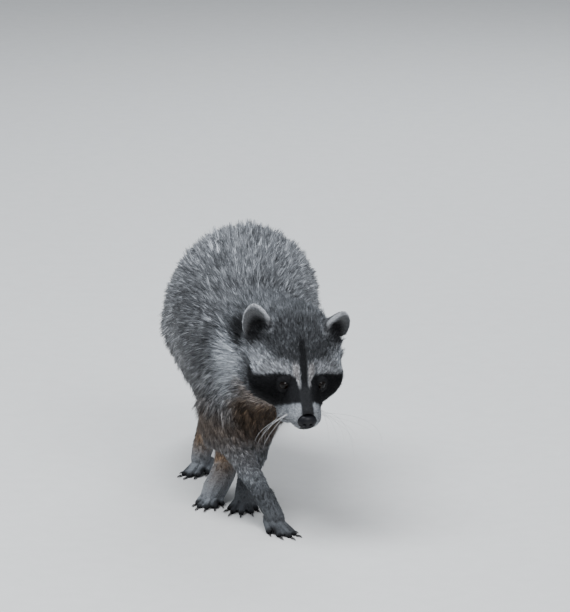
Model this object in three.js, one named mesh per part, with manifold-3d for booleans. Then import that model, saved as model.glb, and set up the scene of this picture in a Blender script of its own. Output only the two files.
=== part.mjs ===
// A raccoon at life size, walking with its head low and turned a little to its left.
// Millimetres, +Z up, the animal faces -Y and its left side is towards +X.
// The surface is the outline of the coat: where the hair is long it stands out over the body by as much.
import * as THREE from "three";
import { mergeVertices } from "three/addons/utils/BufferGeometryUtils.js";
import Module from "manifold-3d";

const wasm = await Module();
wasm.setup();

// ---- Driving dimensions ----
const CUT = 0.4; // width of the cuts that part one piece from the next
const SOLE_DEPTH = 1.2; // how far pads and tail are pressed flat on the ground
const HALF_EYES = 18.5; // from the middle of the face to the middle of an eye
const EYE_RADIUS = 7.2;
const EYE_DEPTH = 4.4; // from the coat at the eyelids in to the middle of the eye
const EAR_LENGTH = 52;
const EAR_HALF_WIDTH = 18.5;
const EAR_HALF_DEPTH = 10.5;
const EAR_WALL = 3;
// How each ear stands: leaning out, leaning back and turned out, in degrees.
const EAR_SET = {
  left: { lean: 7, back: -15, toe: 22 },
  right: { lean: 14, back: 4, toe: 26 },
};
const CLAW_LENGTH = 11;
const CLAW_RADIUS = 1.5;
const TAIL_LENGTHS = 4;
const WHISKER_RADIUS = 0.5;
const WHISKER_POINTS = 20;

// The head hangs from the point midway between the eyes.
const EYE_LINE = new THREE.Vector3(68, -200, 185);
const HEAD_PITCH = 24; // degrees, nose down
const HEAD_YAW = 11; // degrees, towards its left
const HEAD_ROLL = 2.5; // degrees, left side down

const at = (x, y, z) => new THREE.Vector3(x, y, z);
const rad = THREE.MathUtils.degToRad;
const LEFT = at(1, 0, 0);
const BACK = at(0, 1, 0);
const UP = at(0, 0, 1);

// ---- Fields: negative inside, positive outside, about the distance in millimetres ----

/** A limb that tapers from radius ra at a to radius rb at b. */
function bone(a, b, ra, rb) {
  const along = b.clone().sub(a);
  const squared = along.lengthSq();
  return (p) => {
    const part = THREE.MathUtils.clamp(p.clone().sub(a).dot(along) / squared, 0, 1);
    return p.distanceTo(a.clone().addScaledVector(along, part)) - ra - (rb - ra) * part;
  };
}

/** An ellipsoid with half-widths radii, turned by a quaternion. */
function egg(centre, radii, turn = new THREE.Quaternion()) {
  const back = turn.clone().invert();
  return (p) => {
    const q = p.clone().sub(centre).applyQuaternion(back).divide(radii);
    const near = q.length();
    return (near * (near - 1)) / Math.max(q.divide(radii).length(), 1e-6);
  };
}

/** Fields run together, with a fillet about as wide as soft. */
function flow(soft, ...fields) {
  return (p) =>
    fields
      .map((field) => field(p))
      .reduce((a, b) => {
        const near = Math.max(soft - Math.abs(a - b), 0) / soft;
        return Math.min(a, b) - (near * near * soft) / 4;
      });
}

/** Bones from point to point along a chain, run together. */
function chain(soft, points, radii) {
  return flow(soft, ...points.slice(1).map((p, i) => bone(points[i], p, radii[i], radii[i + 1])));
}

// ---- Surfaces ----

/** How far along a ray the field first reaches the level. */
function reachOf(field, from, way, level, most) {
  let inside = 0;
  let t = 0;
  while (t < most) {
    const left = level - field(from.clone().addScaledVector(way, t));
    if (left <= 0) break;
    inside = t;
    t += Math.max(0.6 * left, 0.3);
  }
  if (t >= most) return most;
  for (let i = 0; i < 14; i++) {
    const middle = (inside + t) / 2;
    if (field(from.clone().addScaledVector(way, middle)) < level) inside = middle;
    else t = middle;
  }
  return t;
}

/**
 * A sphere drawn out along a curve, each vertex moved straight out from the curve to the field's surface.
 * across is a direction that the curve never runs in: the first column of vertices lies square to it.
 */
function drawnOut(points, field, { around, rows, caps = 3, across = UP, most = 130, level = 0 }) {
  const curve = new THREE.CatmullRomCurve3(points);
  const geometry = new THREE.SphereGeometry(1, around, rows);
  const position = geometry.getAttribute("position");
  for (let i = 0; i < position.count; i++) {
    const row = Math.floor(i / (around + 1));
    const turn = (2 * Math.PI * (i % (around + 1))) / around;
    const share = THREE.MathUtils.clamp((row - caps) / (rows - 2 * caps), 0, 1);
    const tangent = curve.getTangent(share);
    const side = across.clone().cross(tangent).normalize();
    const other = tangent.clone().cross(side);
    const out = side.multiplyScalar(-Math.cos(turn)).addScaledVector(other, Math.sin(turn));
    const past = Math.max(caps - row, row - rows + caps, 0) / caps;
    const tilt = (past * Math.PI) / 2;
    const way = out
      .multiplyScalar(Math.cos(tilt))
      .addScaledVector(tangent, Math.sin(tilt) * (row < rows / 2 ? -1 : 1))
      .normalize();
    const from = curve.getPoint(share);
    from.addScaledVector(way, reachOf(field, from, way, level, most));
    position.setXYZ(i, from.x, from.y, from.z);
  }
  return solid(geometry);
}

// ---- Solids ----

/** A closed three.js geometry as a manifold-3d solid. */
function solid(geometry) {
  const bare = geometry.clone();
  bare.deleteAttribute("normal");
  bare.deleteAttribute("uv");
  const merged = mergeVertices(bare, 1e-3);
  return new wasm.Manifold(
    new wasm.Mesh({
      numProp: 3,
      vertProperties: merged.getAttribute("position").array,
      triVerts: new Uint32Array(merged.index.array),
    }),
  );
}

/** What lies ahead of and behind a plane through a point, with a cut between them. */
function parted(whole, point, way) {
  const n = way.clone().normalize();
  const offset = n.dot(point);
  return [
    whole.trimByPlane(n.toArray(), offset + CUT / 2),
    whole.trimByPlane(n.clone().negate().toArray(), -offset + CUT / 2),
  ];
}

/** A box about a centre, turned, as a cutter. */
function block(centre, size, turn = new THREE.Quaternion()) {
  const geometry = new THREE.BoxGeometry(...size.toArray());
  geometry.applyMatrix4(new THREE.Matrix4().compose(centre, turn, at(1, 1, 1)));
  return solid(geometry);
}

/** A smooth ellipsoid as a solid, larger all round by grow. */
function ball(centre, radii, turn, grow = 0, around = 12, rows = 8) {
  const geometry = new THREE.SphereGeometry(1, around, rows);
  const size = radii.clone().addScalar(grow);
  geometry.applyMatrix4(new THREE.Matrix4().compose(centre, turn, size));
  return solid(geometry);
}

/** The largest of the bodies that a cut leaves. */
function largest(whole) {
  return whole.decompose().sort((a, b) => b.volume() - a.volume())[0];
}

/** The solid without what lies below the ground. */
function grounded(whole) {
  return whole.trimByPlane([0, 0, 1], 0);
}

const model = new THREE.Group();

function addNode(name, whole, material) {
  const got = largest(whole).getMesh();
  const geometry = new THREE.BufferGeometry();
  geometry.setAttribute("position", new THREE.BufferAttribute(new Float32Array(got.vertProperties), 3));
  geometry.setIndex(new THREE.BufferAttribute(new Uint32Array(got.triVerts), 1));
  geometry.computeVertexNormals();
  const mesh = new THREE.Mesh(geometry, material);
  mesh.name = name;
  model.add(mesh);
}

// ---- Materials ----
const finish = (color, roughness) => new THREE.MeshStandardMaterial({ color, roughness, metalness: 0 });
const greyCoat = finish(0x6f6c69, 0.9);
const darkCoat = finish(0x3b3938, 0.9);
const paleCoat = finish(0xb5b1aa, 0.9);
const footCoat = finish(0x57534f, 0.8);
const noseLeather = finish(0x141416, 0.4);
const eyeGloss = finish(0x0b0908, 0.05);
const clawHorn = finish(0x1d1b1a, 0.45);
const whiskerHair = finish(0xe6e4de, 0.5);

// ---- Head ----
const headTurn = new THREE.Quaternion()
  .setFromAxisAngle(UP, rad(HEAD_YAW))
  .multiply(new THREE.Quaternion().setFromAxisAngle(LEFT, rad(HEAD_PITCH)))
  .multiply(new THREE.Quaternion().setFromAxisAngle(BACK, rad(HEAD_ROLL)));

/** A direction in the head: to its left, forwards along the muzzle, and up. */
const headWay = (left, forward, up) => at(left, -forward, up).applyQuaternion(headTurn);
/** A place in the head, from the point midway between the eyes. */
const inHead = (left, forward, up) => headWay(left, forward, up).add(EYE_LINE);
const headEgg = (left, forward, up, wide, long, high) =>
  egg(inHead(left, forward, up), at(wide, long, high), headTurn);
const sides = [
  ["left", 1],
  ["right", -1],
];

const cheeks = sides.flatMap(([, s]) => [
  headEgg(s * 30, -27, -10, 28, 26, 25),
  headEgg(s * 25, -50, -12, 28, 26, 29),
]);
const skullField = flow(
  14,
  headEgg(0, -40, 4, 45, 42, 33),
  headEgg(0, -8, 3, 33, 20, 17),
  bone(inHead(0, -2, -12), inHead(0, 38, -17), 24, 12.5),
  bone(inHead(0, 0, -1), inHead(0, 44, -12.5), 12, 7.5),
  ...sides.map(([, s]) => headEgg(s * 8, 38, -20, 9.5, 12, 8.5)),
  ...sides.map(([, s]) => headEgg(s * 16, 9, -35, 10, 16, 12)),
  bone(inHead(0, -20, -23), inHead(0, 34, -26), 22, 8),
  ...cheeks,
);

// ---- Trunk, neck and head as one surface ----
const RUMP = at(-26, 214, 176);
const HIPS = at(-16, 165, 198);
const LOIN = at(-3, 100, 207);
const RIBS = at(5, 20, 196);
const SHOULDERS = at(14, -52, 184);
const CHEST = at(18, -92, 166);
const WITHERS = at(24, -84, 200);
const NAPE = inHead(0, -64, -4);

const trunkField = flow(
  30,
  chain(20, [CHEST, SHOULDERS, RIBS, LOIN, HIPS, RUMP], [52, 70, 82, 87, 77, 52]),
  chain(20, [at(12, 0, 208), at(4, 105, 232), at(-10, 165, 218)], [60, 72, 58]),
  bone(at(8, -60, 148), at(0, 90, 150), 46, 50),
  egg(at(-56, 128, 164), at(44, 56, 52)),
  egg(at(38, 120, 162), at(42, 58, 58)),
  egg(at(-26, -62, 150), at(40, 44, 56)),
  egg(at(46, -52, 152), at(38, 42, 52)),
);
const neckField = chain(20, [SHOULDERS, WITHERS, NAPE, inHead(0, -42, -8)], [60, 61, 56, 50]);
const torsoField = flow(26, trunkField, neckField);
const headField = flow(12, torsoField, skullField);

const neckStart = SHOULDERS.clone().lerp(NAPE, 0.45);
const neckWay = NAPE.clone().sub(SHOULDERS).normalize();
const headStart = inHead(0, -58, 0);
const headCut = headWay(0, 1, 0.12);

const spine = [RUMP, HIPS, LOIN, RIBS, SHOULDERS, neckStart, neckStart.clone().addScaledVector(neckWay, 30)];
const trunkShape = { around: 22, rows: 21, most: 120 };
const wholeTrunk = drawnOut(spine, torsoField, trunkShape);
const [, trunk] = parted(wholeTrunk, neckStart, neckWay);

const neckAxis = [SHOULDERS, neckStart, NAPE, NAPE.clone().addScaledVector(neckWay, 45)];
const neckShape = { around: 22, rows: 13, most: 120 };
const wholeNeck = drawnOut(neckAxis, torsoField, neckShape);
const [, neck] = parted(parted(wholeNeck, neckStart, neckWay)[0], headStart, headCut);

const torsoRoom = drawnOut(spine, torsoField, { ...trunkShape, level: CUT }).add(
  drawnOut(neckAxis, torsoField, { ...neckShape, level: CUT }),
);

const headAxis = [
  inHead(0, -74, -6),
  inHead(0, -52, -5),
  inHead(0, -36, -4),
  inHead(0, -20, -6),
  inHead(0, -6, -9),
  inHead(0, 8, -12),
  inHead(0, 23, -14),
  inHead(0, 38, -16),
];
const headShape = { around: 28, rows: 23, caps: 4, most: 90, across: headWay(0, 0, 1) };
const wholeHead = drawnOut(headAxis, headField, headShape);
const headRoom = drawnOut(headAxis, headField, { ...headShape, level: CUT });
let [head] = parted(wholeHead, headStart, headCut);

// Eyes sit where a ray that looks forwards and outwards leaves the coat.
const eyes = sides.map(([name, s]) => {
  const gaze = headWay(s * 0.42, 1, 0.16).normalize();
  const start = inHead(s * HALF_EYES, 0, 1.5).addScaledVector(gaze, -18);
  const surface = start.clone().addScaledVector(gaze, reachOf(skullField, start, gaze, 0, 60));
  return [name, surface.addScaledVector(gaze, -EYE_DEPTH)];
});
for (const [name, centre] of eyes) {
  const size = at(EYE_RADIUS, EYE_RADIUS, EYE_RADIUS);
  addNode("eye_" + name, ball(centre, size, headTurn), eyeGloss);
  head = head.subtract(ball(centre, size, headTurn, CUT));
}

// The leather of the nose, with a nostril at each side that opens forwards and outwards.
const NOSE = [inHead(0, 49.5, -16), at(11, 8, 8.5)];
const nostrils = sides.map(([, s]) =>
  ball(inHead(s * 5.2, 56.5, -17), at(2.4, 6, 2.2), headTurn.clone().multiply(
    new THREE.Quaternion().setFromAxisAngle(UP, rad(s * 30)),
  ), 0, 6, 5),
);
const nose = nostrils.reduce((whole, hole) => whole.subtract(hole), ball(...NOSE, headTurn, 0, 12, 9));
head = head.subtract(ball(...NOSE, headTurn, CUT, 12, 9));

// The mouth is a cut that rises to the cheeks, and the lower jaw lies under it.
const lipTurn = headTurn.clone().multiply(new THREE.Quaternion().setFromAxisAngle(LEFT, rad(4)));
const jawSize = at(90, 62, 40);
const jawCentre = inHead(0, 32, -25.5).add(at(0, 0, -jawSize.z / 2).applyQuaternion(lipTurn));
const jaw = head.intersect(block(jawCentre, jawSize, lipTurn));
head = head.subtract(block(jawCentre, jawSize.clone().addScalar(2 * CUT), lipTurn));
const [muzzle, skull] = parted(head, inHead(0, 13, 0), headWay(0, 1, -0.25));

addNode("trunk", trunk, greyCoat);
addNode("neck", neck, greyCoat);
addNode("head", skull, darkCoat);
addNode("muzzle", muzzle, paleCoat);
addNode("lower_jaw", jaw, paleCoat);
addNode("nose", nose, noseLeather);

// ---- Ears: a rounded blade, hollowed in front, standing on the sides of the crown ----
for (const [name, s] of sides) {
  const { lean, back, toe } = EAR_SET[name];
  const turn = headTurn
    .clone()
    .multiply(new THREE.Quaternion().setFromAxisAngle(BACK, rad(s * lean)))
    .multiply(new THREE.Quaternion().setFromAxisAngle(LEFT, rad(-back)))
    .multiply(new THREE.Quaternion().setFromAxisAngle(UP, rad(s * toe)));
  const root = inHead(s * 42, -54, 22);
  const centre = root.add(at(0, 0, EAR_LENGTH * 0.36).applyQuaternion(turn));
  const shaped = (radii, shift) => {
    const geometry = new THREE.SphereGeometry(1, 14, 11);
    const position = geometry.getAttribute("position");
    for (let i = 0; i < position.count; i++) {
      const p = at(position.getX(i), position.getZ(i), -position.getY(i));
      const narrow = 1 - 0.22 * Math.max(p.z, 0) ** 2;
      p.multiply(radii).multiply(at(narrow, narrow, 1)).add(shift).applyQuaternion(turn).add(centre);
      position.setXYZ(i, p.x, p.y, p.z);
    }
    return solid(geometry);
  };
  const blade = shaped(at(EAR_HALF_WIDTH, EAR_HALF_DEPTH, EAR_LENGTH * 0.6), at(0, 0, 0));
  const hollow = shaped(
    at(EAR_HALF_WIDTH - EAR_WALL, EAR_HALF_DEPTH, EAR_LENGTH * 0.6 - EAR_WALL),
    at(0, -EAR_HALF_DEPTH * 0.75, 2),
  );
  addNode("ear_" + name, blade.subtract(hollow).subtract(headRoom), darkCoat);
}

// ---- Whiskers: the two longest of each side, bowed out from the lip and drooping ----
const WHISKERS = {
  left: [
    { out: 76, droop: 0, fall: 40, back: 6 },
    { out: 44, droop: 0, fall: 70, back: 2 },
  ],
  right: [
    { out: 44, droop: 30, fall: 18, back: 4 },
    { out: 46, droop: 58, fall: 12, back: 2 },
  ],
};
for (const [name, s] of sides) {
  WHISKERS[name].forEach(({ out, droop, fall, back }, i) => {
    const aside = headWay(s, 0, 0);
    const way = headWay(s * Math.cos(rad(droop)), 0, -Math.sin(rad(droop)));
    const inside = inHead(s * 6, 33 - 5 * i, -20 - i);
    const outside = reachOf(skullField, inside, aside, CUT, 30) + WHISKER_RADIUS;
    const root = inside.clone().addScaledVector(aside, outside);
    const points = Array.from({ length: WHISKER_POINTS }, (_, j) => {
      const t = j / (WHISKER_POINTS - 1);
      return root
        .clone()
        .addScaledVector(way, out * Math.sin((t * Math.PI) / 2))
        .addScaledVector(UP, -fall * t ** 2.2)
        .addScaledVector(BACK, back * t);
    });
    const field = chain(0.1, points, points.map((_, j) => WHISKER_RADIUS * (1 - (0.4 * j) / WHISKER_POINTS)));
    const whisker = drawnOut(points, field, { around: 4, rows: 8, caps: 1, most: 3 });
    addNode(`whisker_${name}_${i + 1}`, whisker, whiskerHair);
  });
}

// ---- Feet ----

/** Claws and toes of one foot. Each toe is [root, knuckle, tip]. */
function foot(name, palm, toes, radius) {
  let whole = palm;
  toes.forEach(([root, knuckle, tip], i) => {
    const field = chain(3, [root, knuckle, tip], [radius, radius * 1.02, radius * 0.8]);
    whole = whole.add(drawnOut([root, knuckle, tip], field, { around: 6, rows: 5, caps: 2, most: 20 }));
    const way = tip.clone().sub(knuckle).normalize();
    const start = tip.clone().addScaledVector(way, radius * 0.8 + CUT + CLAW_RADIUS);
    const bend = start.clone().addScaledVector(way, CLAW_LENGTH * 0.6);
    const end = start.clone().addScaledVector(way, CLAW_LENGTH);
    bend.z = Math.max(bend.z + 0.4, CLAW_RADIUS + 0.8);
    end.z = Math.max(end.z - 1.5, 1);
    const clawField = chain(1, [start, bend, end], [CLAW_RADIUS, CLAW_RADIUS * 0.8, 0.4]);
    const claw = drawnOut([start, bend, end], clawField, { around: 4, rows: 5, caps: 1, most: 6 });
    addNode(`claw_${name}_${i + 1}`, grounded(claw), clawHorn);
  });
  addNode("foot_" + name, grounded(whole), footCoat);
}

/** The toes of a foot that stands flat: fanned about the heading, from the knuckles forwards. */
function fannedToes(knuckles, heading, { spread, length, width, radius, drop }) {
  return [-2, -1, 0, 1, 2].map((place) => {
    const way = at(0, -1, 0).applyAxisAngle(UP, rad(heading + spread * place));
    const side = at(1, 0, 0).applyAxisAngle(UP, rad(heading));
    const shorter = 1 - 0.07 * place * place;
    const behind = length * 0.12 * place * place;
    const root = knuckles.clone().addScaledVector(side, width * place).addScaledVector(way, -behind);
    const knuckle = root.clone().addScaledVector(way, length * 0.45 * shorter).add(at(0, 0, -drop * 0.35));
    const tip = root.clone().addScaledVector(way, length * shorter);
    tip.z = radius * 0.8 - SOLE_DEPTH;
    return [root, knuckle, tip];
  });
}

// ---- Legs ----

/** A leg from where it leaves the trunk to the wrist or ankle, drawn about an axis that bends less than the bones. */
function leg(name, axis, field, footStart, footWay) {
  const shape = { around: 11, rows: 15, caps: 3, across: BACK, most: 75 };
  const whole = drawnOut(axis, field, shape);
  const [, shown] = parted(whole, footStart, footWay);
  addNode(name, shown.subtract(torsoRoom), greyCoat);
}

/** The palm or sole: the end of the leg and the flat of the foot run together, kept past the wrist or ankle. */
function palm(legField, points, radii, startPoint, startWay) {
  const field = flow(8, legField, chain(8, points, radii));
  const whole = drawnOut(points, field, { around: 10, rows: 9, caps: 3, across: UP, most: 26 });
  return parted(whole, startPoint, startWay)[0];
}

const PAW_RADIUS = 4.6;

// Right foreleg, reaching forwards and across.
{
  const wrist = at(22, -150, 42);
  const knuckles = at(39, -170, 16);
  const joints = [at(-28, -58, 176), at(-26, -88, 112), wrist];
  const below = joints[1].clone().lerp(wrist, 0.28);
  const way = knuckles.clone().sub(wrist);
  const fringe = bone(at(-30, -76, 116), at(-38, -62, 88), 30, 16);
  const field = flow(12, chain(8, [joints[0], joints[1], below, wrist], [42, 29, 16.5, 11.5]), fringe);
  leg("foreleg_right", joints, field, wrist, way);
  const bones = [wrist.clone().addScaledVector(way, -0.3), wrist, knuckles];
  const whole = palm(field, bones, [11.5, 11.5, 10.5], wrist, way);
  const toeSizes = { spread: 9, length: 34, width: 5.4, radius: PAW_RADIUS, drop: 14 };
  const toes = fannedToes(knuckles.clone().add(at(0, 0, -3)), 27, toeSizes);
  foot("front_right", whole, toes, PAW_RADIUS);
}

// Left foreleg, standing.
{
  const wrist = at(7, -44, 40);
  const knuckles = at(0, -64, 11);
  const joints = [at(46, -50, 170), at(31, -38, 114), wrist];
  const below = joints[1].clone().lerp(wrist, 0.45);
  const way = knuckles.clone().sub(wrist);
  const field = flow(12, chain(8, [joints[0], joints[1], below, wrist], [38, 27, 16.5, 11.5]));
  leg("foreleg_left", joints, field, wrist, way);
  const bones = [wrist.clone().addScaledVector(way, -0.3), wrist, knuckles];
  const whole = palm(field, bones, [11.5, 12, 11.5], wrist, way);
  const toeSizes = { spread: 12, length: 31, width: 6.2, radius: PAW_RADIUS, drop: 8 };
  const toes = fannedToes(knuckles.clone().add(at(0, 0, -2)), -4, toeSizes);
  foot("front_left", whole, toes, PAW_RADIUS);
}

// Left hind leg, standing on its whole sole.
{
  const heel = at(-22, 26, 20);
  const ankle = at(-23, 24, 34);
  const knuckles = at(-39, -40, 9);
  const joints = [at(22, 118, 172), at(4, 48, 112), ankle];
  const way = knuckles.clone().sub(heel);
  const below = joints[1].clone().lerp(ankle, 0.5);
  const field = flow(12, chain(8, [joints[0], joints[1], below, ankle], [54, 34, 20, 14.5]));
  leg("hindleg_left", joints, field, ankle, at(0, -0.35, -1));
  const bones = [at(-24, 16, 24), at(-32, -16, 17), knuckles];
  const whole = palm(field, bones, [14.5, 14.5, 13], ankle, at(0, -0.35, -1));
  const toes = fannedToes(knuckles, -10, { spread: 8, length: 28, width: 6.4, radius: PAW_RADIUS, drop: 5 });
  foot("hind_left", whole, toes, PAW_RADIUS);
}

// Right hind leg, trailing with the heel up.
{
  const ankle = at(-42, 148, 62);
  const knuckles = at(-54, 118, 17);
  const joints = [at(-46, 128, 160), at(-46, 78, 116), ankle];
  const way = knuckles.clone().sub(ankle);
  const below = joints[1].clone().lerp(ankle, 0.5);
  const field = flow(12, chain(8, [joints[0], joints[1], below, ankle], [46, 29, 18, 13.5]));
  leg("hindleg_right", [joints[0], at(-46, 106, 112), ankle], field, ankle, way);
  const bones = [ankle.clone().addScaledVector(way, -0.1), ankle.clone().lerp(knuckles, 0.5), knuckles];
  const whole = palm(field, bones, [13.5, 13, 12], ankle, way);
  const toeSizes = { spread: 8, length: 31, width: 5.8, radius: PAW_RADIUS, drop: 10 };
  const toes = fannedToes(knuckles.clone().add(at(0, 0, -4)), -26, toeSizes);
  foot("hind_right", whole, toes, PAW_RADIUS);
}

// ---- Tail: low, with the last length resting on the ground ----
const tailPoints = [
  at(-26, 205, 178),
  at(-29, 258, 142),
  at(-25, 304, 92),
  at(-10, 352, 50),
  at(14, 402, 32),
  at(32, 438, 27),
];
const tailRadii = [32, 35, 36, 36, 33, 25];
const tailField = chain(10, tailPoints, tailRadii);
const tailShape = { around: 12, rows: 18, caps: 4, across: LEFT, most: 60 };
const tailWhole = grounded(drawnOut(tailPoints, tailField, tailShape)).subtract(torsoRoom);
const tailCurve = new THREE.CatmullRomCurve3(tailPoints);
let rest = tailWhole;
for (let i = 1; i < TAIL_LENGTHS; i++) {
  const share = 0.18 + (0.82 * i) / TAIL_LENGTHS;
  const [further, nearer] = parted(rest, tailCurve.getPoint(share), tailCurve.getTangent(share));
  addNode(`tail_${i}`, nearer, greyCoat);
  rest = further;
}
addNode(`tail_${TAIL_LENGTHS}`, rest, darkCoat);

// The origin lies on the ground, under the middle of the whole.
const box = new THREE.Box3().setFromObject(model);
const middle = box.getCenter(at(0, 0, 0));
model.position.set(-middle.x, -middle.y, -box.min.z);

export default model;
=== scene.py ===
"""The looks of a life-size raccoon figure: one skin, a coat of modelled tufts, eyes, nose, claws, whiskers.

The CAD frame gives every place. The figure faces -Y, its left side is +X, and all sizes are in metres,
except on the head, whose markings are worked out in millimetres left of, in front of and above a point
between the eyes. There, l, f and u say how far left, forward and up, and a how far to either side.
"""

import math

import bpy
import numpy as np
from mathutils import Matrix, Vector
from mathutils.bvhtree import BVHTree
from mathutils.kdtree import KDTree


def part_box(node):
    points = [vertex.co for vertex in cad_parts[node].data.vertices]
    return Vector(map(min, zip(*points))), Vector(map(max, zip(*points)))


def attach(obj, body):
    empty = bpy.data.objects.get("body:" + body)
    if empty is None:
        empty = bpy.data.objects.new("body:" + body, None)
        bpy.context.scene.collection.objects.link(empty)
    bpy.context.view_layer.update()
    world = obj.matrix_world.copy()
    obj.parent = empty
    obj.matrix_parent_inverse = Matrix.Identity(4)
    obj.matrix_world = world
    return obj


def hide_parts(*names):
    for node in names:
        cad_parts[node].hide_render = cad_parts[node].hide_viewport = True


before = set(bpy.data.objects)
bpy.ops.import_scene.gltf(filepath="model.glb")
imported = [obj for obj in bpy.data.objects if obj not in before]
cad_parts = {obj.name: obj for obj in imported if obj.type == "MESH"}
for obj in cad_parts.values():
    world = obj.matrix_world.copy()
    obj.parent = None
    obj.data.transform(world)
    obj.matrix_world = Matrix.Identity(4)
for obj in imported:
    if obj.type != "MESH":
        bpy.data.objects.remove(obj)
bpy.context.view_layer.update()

bl_info = {
    "name": "Raccoon figure",
    "version": (1, 0, 0),
    "blender": (4, 5, 0),
    "location": "3D View > Sidebar > Raccoon",
    "description": "Builds the skin, coat, eyes, nose, claws and whiskers of a raccoon over its CAD solids",
    "category": "Object",
}

MM = 0.001
LEGS = ("foreleg_left", "foreleg_right", "hindleg_left", "hindleg_right")
FEET = ("foot_front_left", "foot_front_right", "foot_hind_left", "foot_hind_right")
EARS = ("ear_left", "ear_right")
EYES = ("eye_left", "eye_right")
TAIL = ("tail_1", "tail_2", "tail_3", "tail_4")
FLESH = ("trunk", "neck", "head", "muzzle", "lower_jaw") + EARS + LEGS + FEET + TAIL
REGIONS = ("trunk", "neck", "head", "muzzle", "ear", "leg", "foot", "tail")
SKIN_TRIANGLES = 180000
SKIN_SHADE = 0.7  # the skin's tone, as a share of the coat's over it

# What the operators hand on: the body, and the pelts of the skin and of each lid.
pelts = {}


# ---- Settings ----


def length_setting(name, description, default):
    return bpy.props.FloatProperty(name=name, description=description, default=default, unit="LENGTH")


def colour_setting(name, description, default):
    return bpy.props.FloatVectorProperty(
        name=name, description=description, default=default, size=3, subtype="COLOR"
    )


class CoatSizes(bpy.types.PropertyGroup):
    guard_length: length_setting("Guard hair", "Length of the long hairs of the trunk", 0.029)
    wool_share: bpy.props.FloatProperty(
        name="Wool", description="Length of the woolly hairs as a share of the guard hairs'", default=0.66
    )
    tuft_width: length_setting("Tuft width", "Greatest width of a tuft of the trunk", 0.001)
    voxel: length_setting("Skin detail", "Voxel of the remesh that runs the flesh together", 0.0012)
    seed: bpy.props.IntProperty(name="Seed", description="Start of the random numbers", default=7)


class CoatColours(bpy.types.PropertyGroup):
    white: colour_setting("White", "Brow, muzzle and rims of the ears", (0.60, 0.64, 0.69))
    tan: colour_setting("Tan", "The palest brown of the chest and shanks", (0.60, 0.36, 0.17))
    black: colour_setting("Black", "Mask, tips and tail rings", (0.004, 0.004, 0.005))


class FaceSizes(bpy.types.PropertyGroup):
    eye_width: length_setting("Eye width", "Width of the opening of the lids", 0.0110)
    eye_height: length_setting("Eye height", "Height of the opening of the lids", 0.0096)
    pupil: length_setting("Pupil", "Radius of the pupil", 0.0022)
    whisker_width: length_setting("Whisker", "Thickness of a whisker at its root", 0.00052)


class StageSettings(bpy.types.PropertyGroup):
    floor: colour_setting("Floor", "Colour of the floor", (0.62, 0.61, 0.59))
    key: bpy.props.FloatProperty(
        name="Key light", description="Power of the soft light overhead, in watts", default=150
    )
    fill: bpy.props.FloatProperty(
        name="Fill light", description="Power of the soft light in front, in watts", default=88
    )
    distance: length_setting("Camera distance", "From the camera to the middle of its view", 6.0)


# ---- The head's own directions ----

# Turned to its left, nose down and a little on its left side.
HEAD_TURN = (
    Matrix.Rotation(math.radians(11), 3, "Z")
    @ Matrix.Rotation(math.radians(24), 3, "X")
    @ Matrix.Rotation(math.radians(2.5), 3, "Y")
)
EYES_FORWARD = 5.1 * MM
EYES_ABOVE = 2.3 * MM


def middle(name):
    """The middle of a CAD node's box."""
    low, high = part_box(name)
    return (low + high) / 2


def head_way(left, forward, up):
    """A direction given along the head's own left, forward and up."""
    return HEAD_TURN @ Vector((left, -forward, up))


HEAD_ORIGIN = (middle("eye_left") + middle("eye_right")) / 2 - head_way(0, EYES_FORWARD, EYES_ABOVE)


def in_head(left, forward, up):
    """A point of the head from millimetres left, forward and up."""
    return HEAD_ORIGIN + head_way(left, forward, up) * MM


def head_places(points):
    """How far points lie left of, in front of and above the head's origin, in millimetres."""
    local = (points - np.array(HEAD_ORIGIN)) @ np.array(HEAD_TURN) / MM
    return local[:, 0], -local[:, 1], local[:, 2]


# ---- Arithmetic on arrays of points ----


def unit(vectors):
    """Vectors of the same directions, all of length 1."""
    return vectors / np.maximum(np.linalg.norm(vectors, axis=-1, keepdims=True), 1e-9)


def flat_to(vectors, normals):
    """Vectors without what stands along the normals."""
    return vectors - normals * (vectors * normals).sum(-1, keepdims=True)


def step(low, high, values):
    """0 below low, 1 above high, and smooth between them."""
    t = np.clip((values - low) / (high - low), 0, 1)
    return t * t * (3 - 2 * t)


def hump(values, centre, width):
    """1 at the centre, 0.37 a width away from it, and fading to 0."""
    return np.exp(-(((values - centre) / width) ** 2))


def mixed(a, b, share):
    """Colours between a and b, one for each share."""
    return a + (b - a) * share[:, None]


def noise(points, size, seed=0):
    """A smooth pattern between about -1 and 1 over points, with waves about size long."""
    rng = np.random.default_rng(seed)
    total = np.zeros(len(points))
    for _ in range(9):
        way = unit(rng.normal(size=3))
        total += np.sin(points @ way * (2 * np.pi / size) * rng.uniform(0.6, 1.6) + rng.uniform(0, 6.3))
    return total / 3


# ---- Meshes ----


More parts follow.
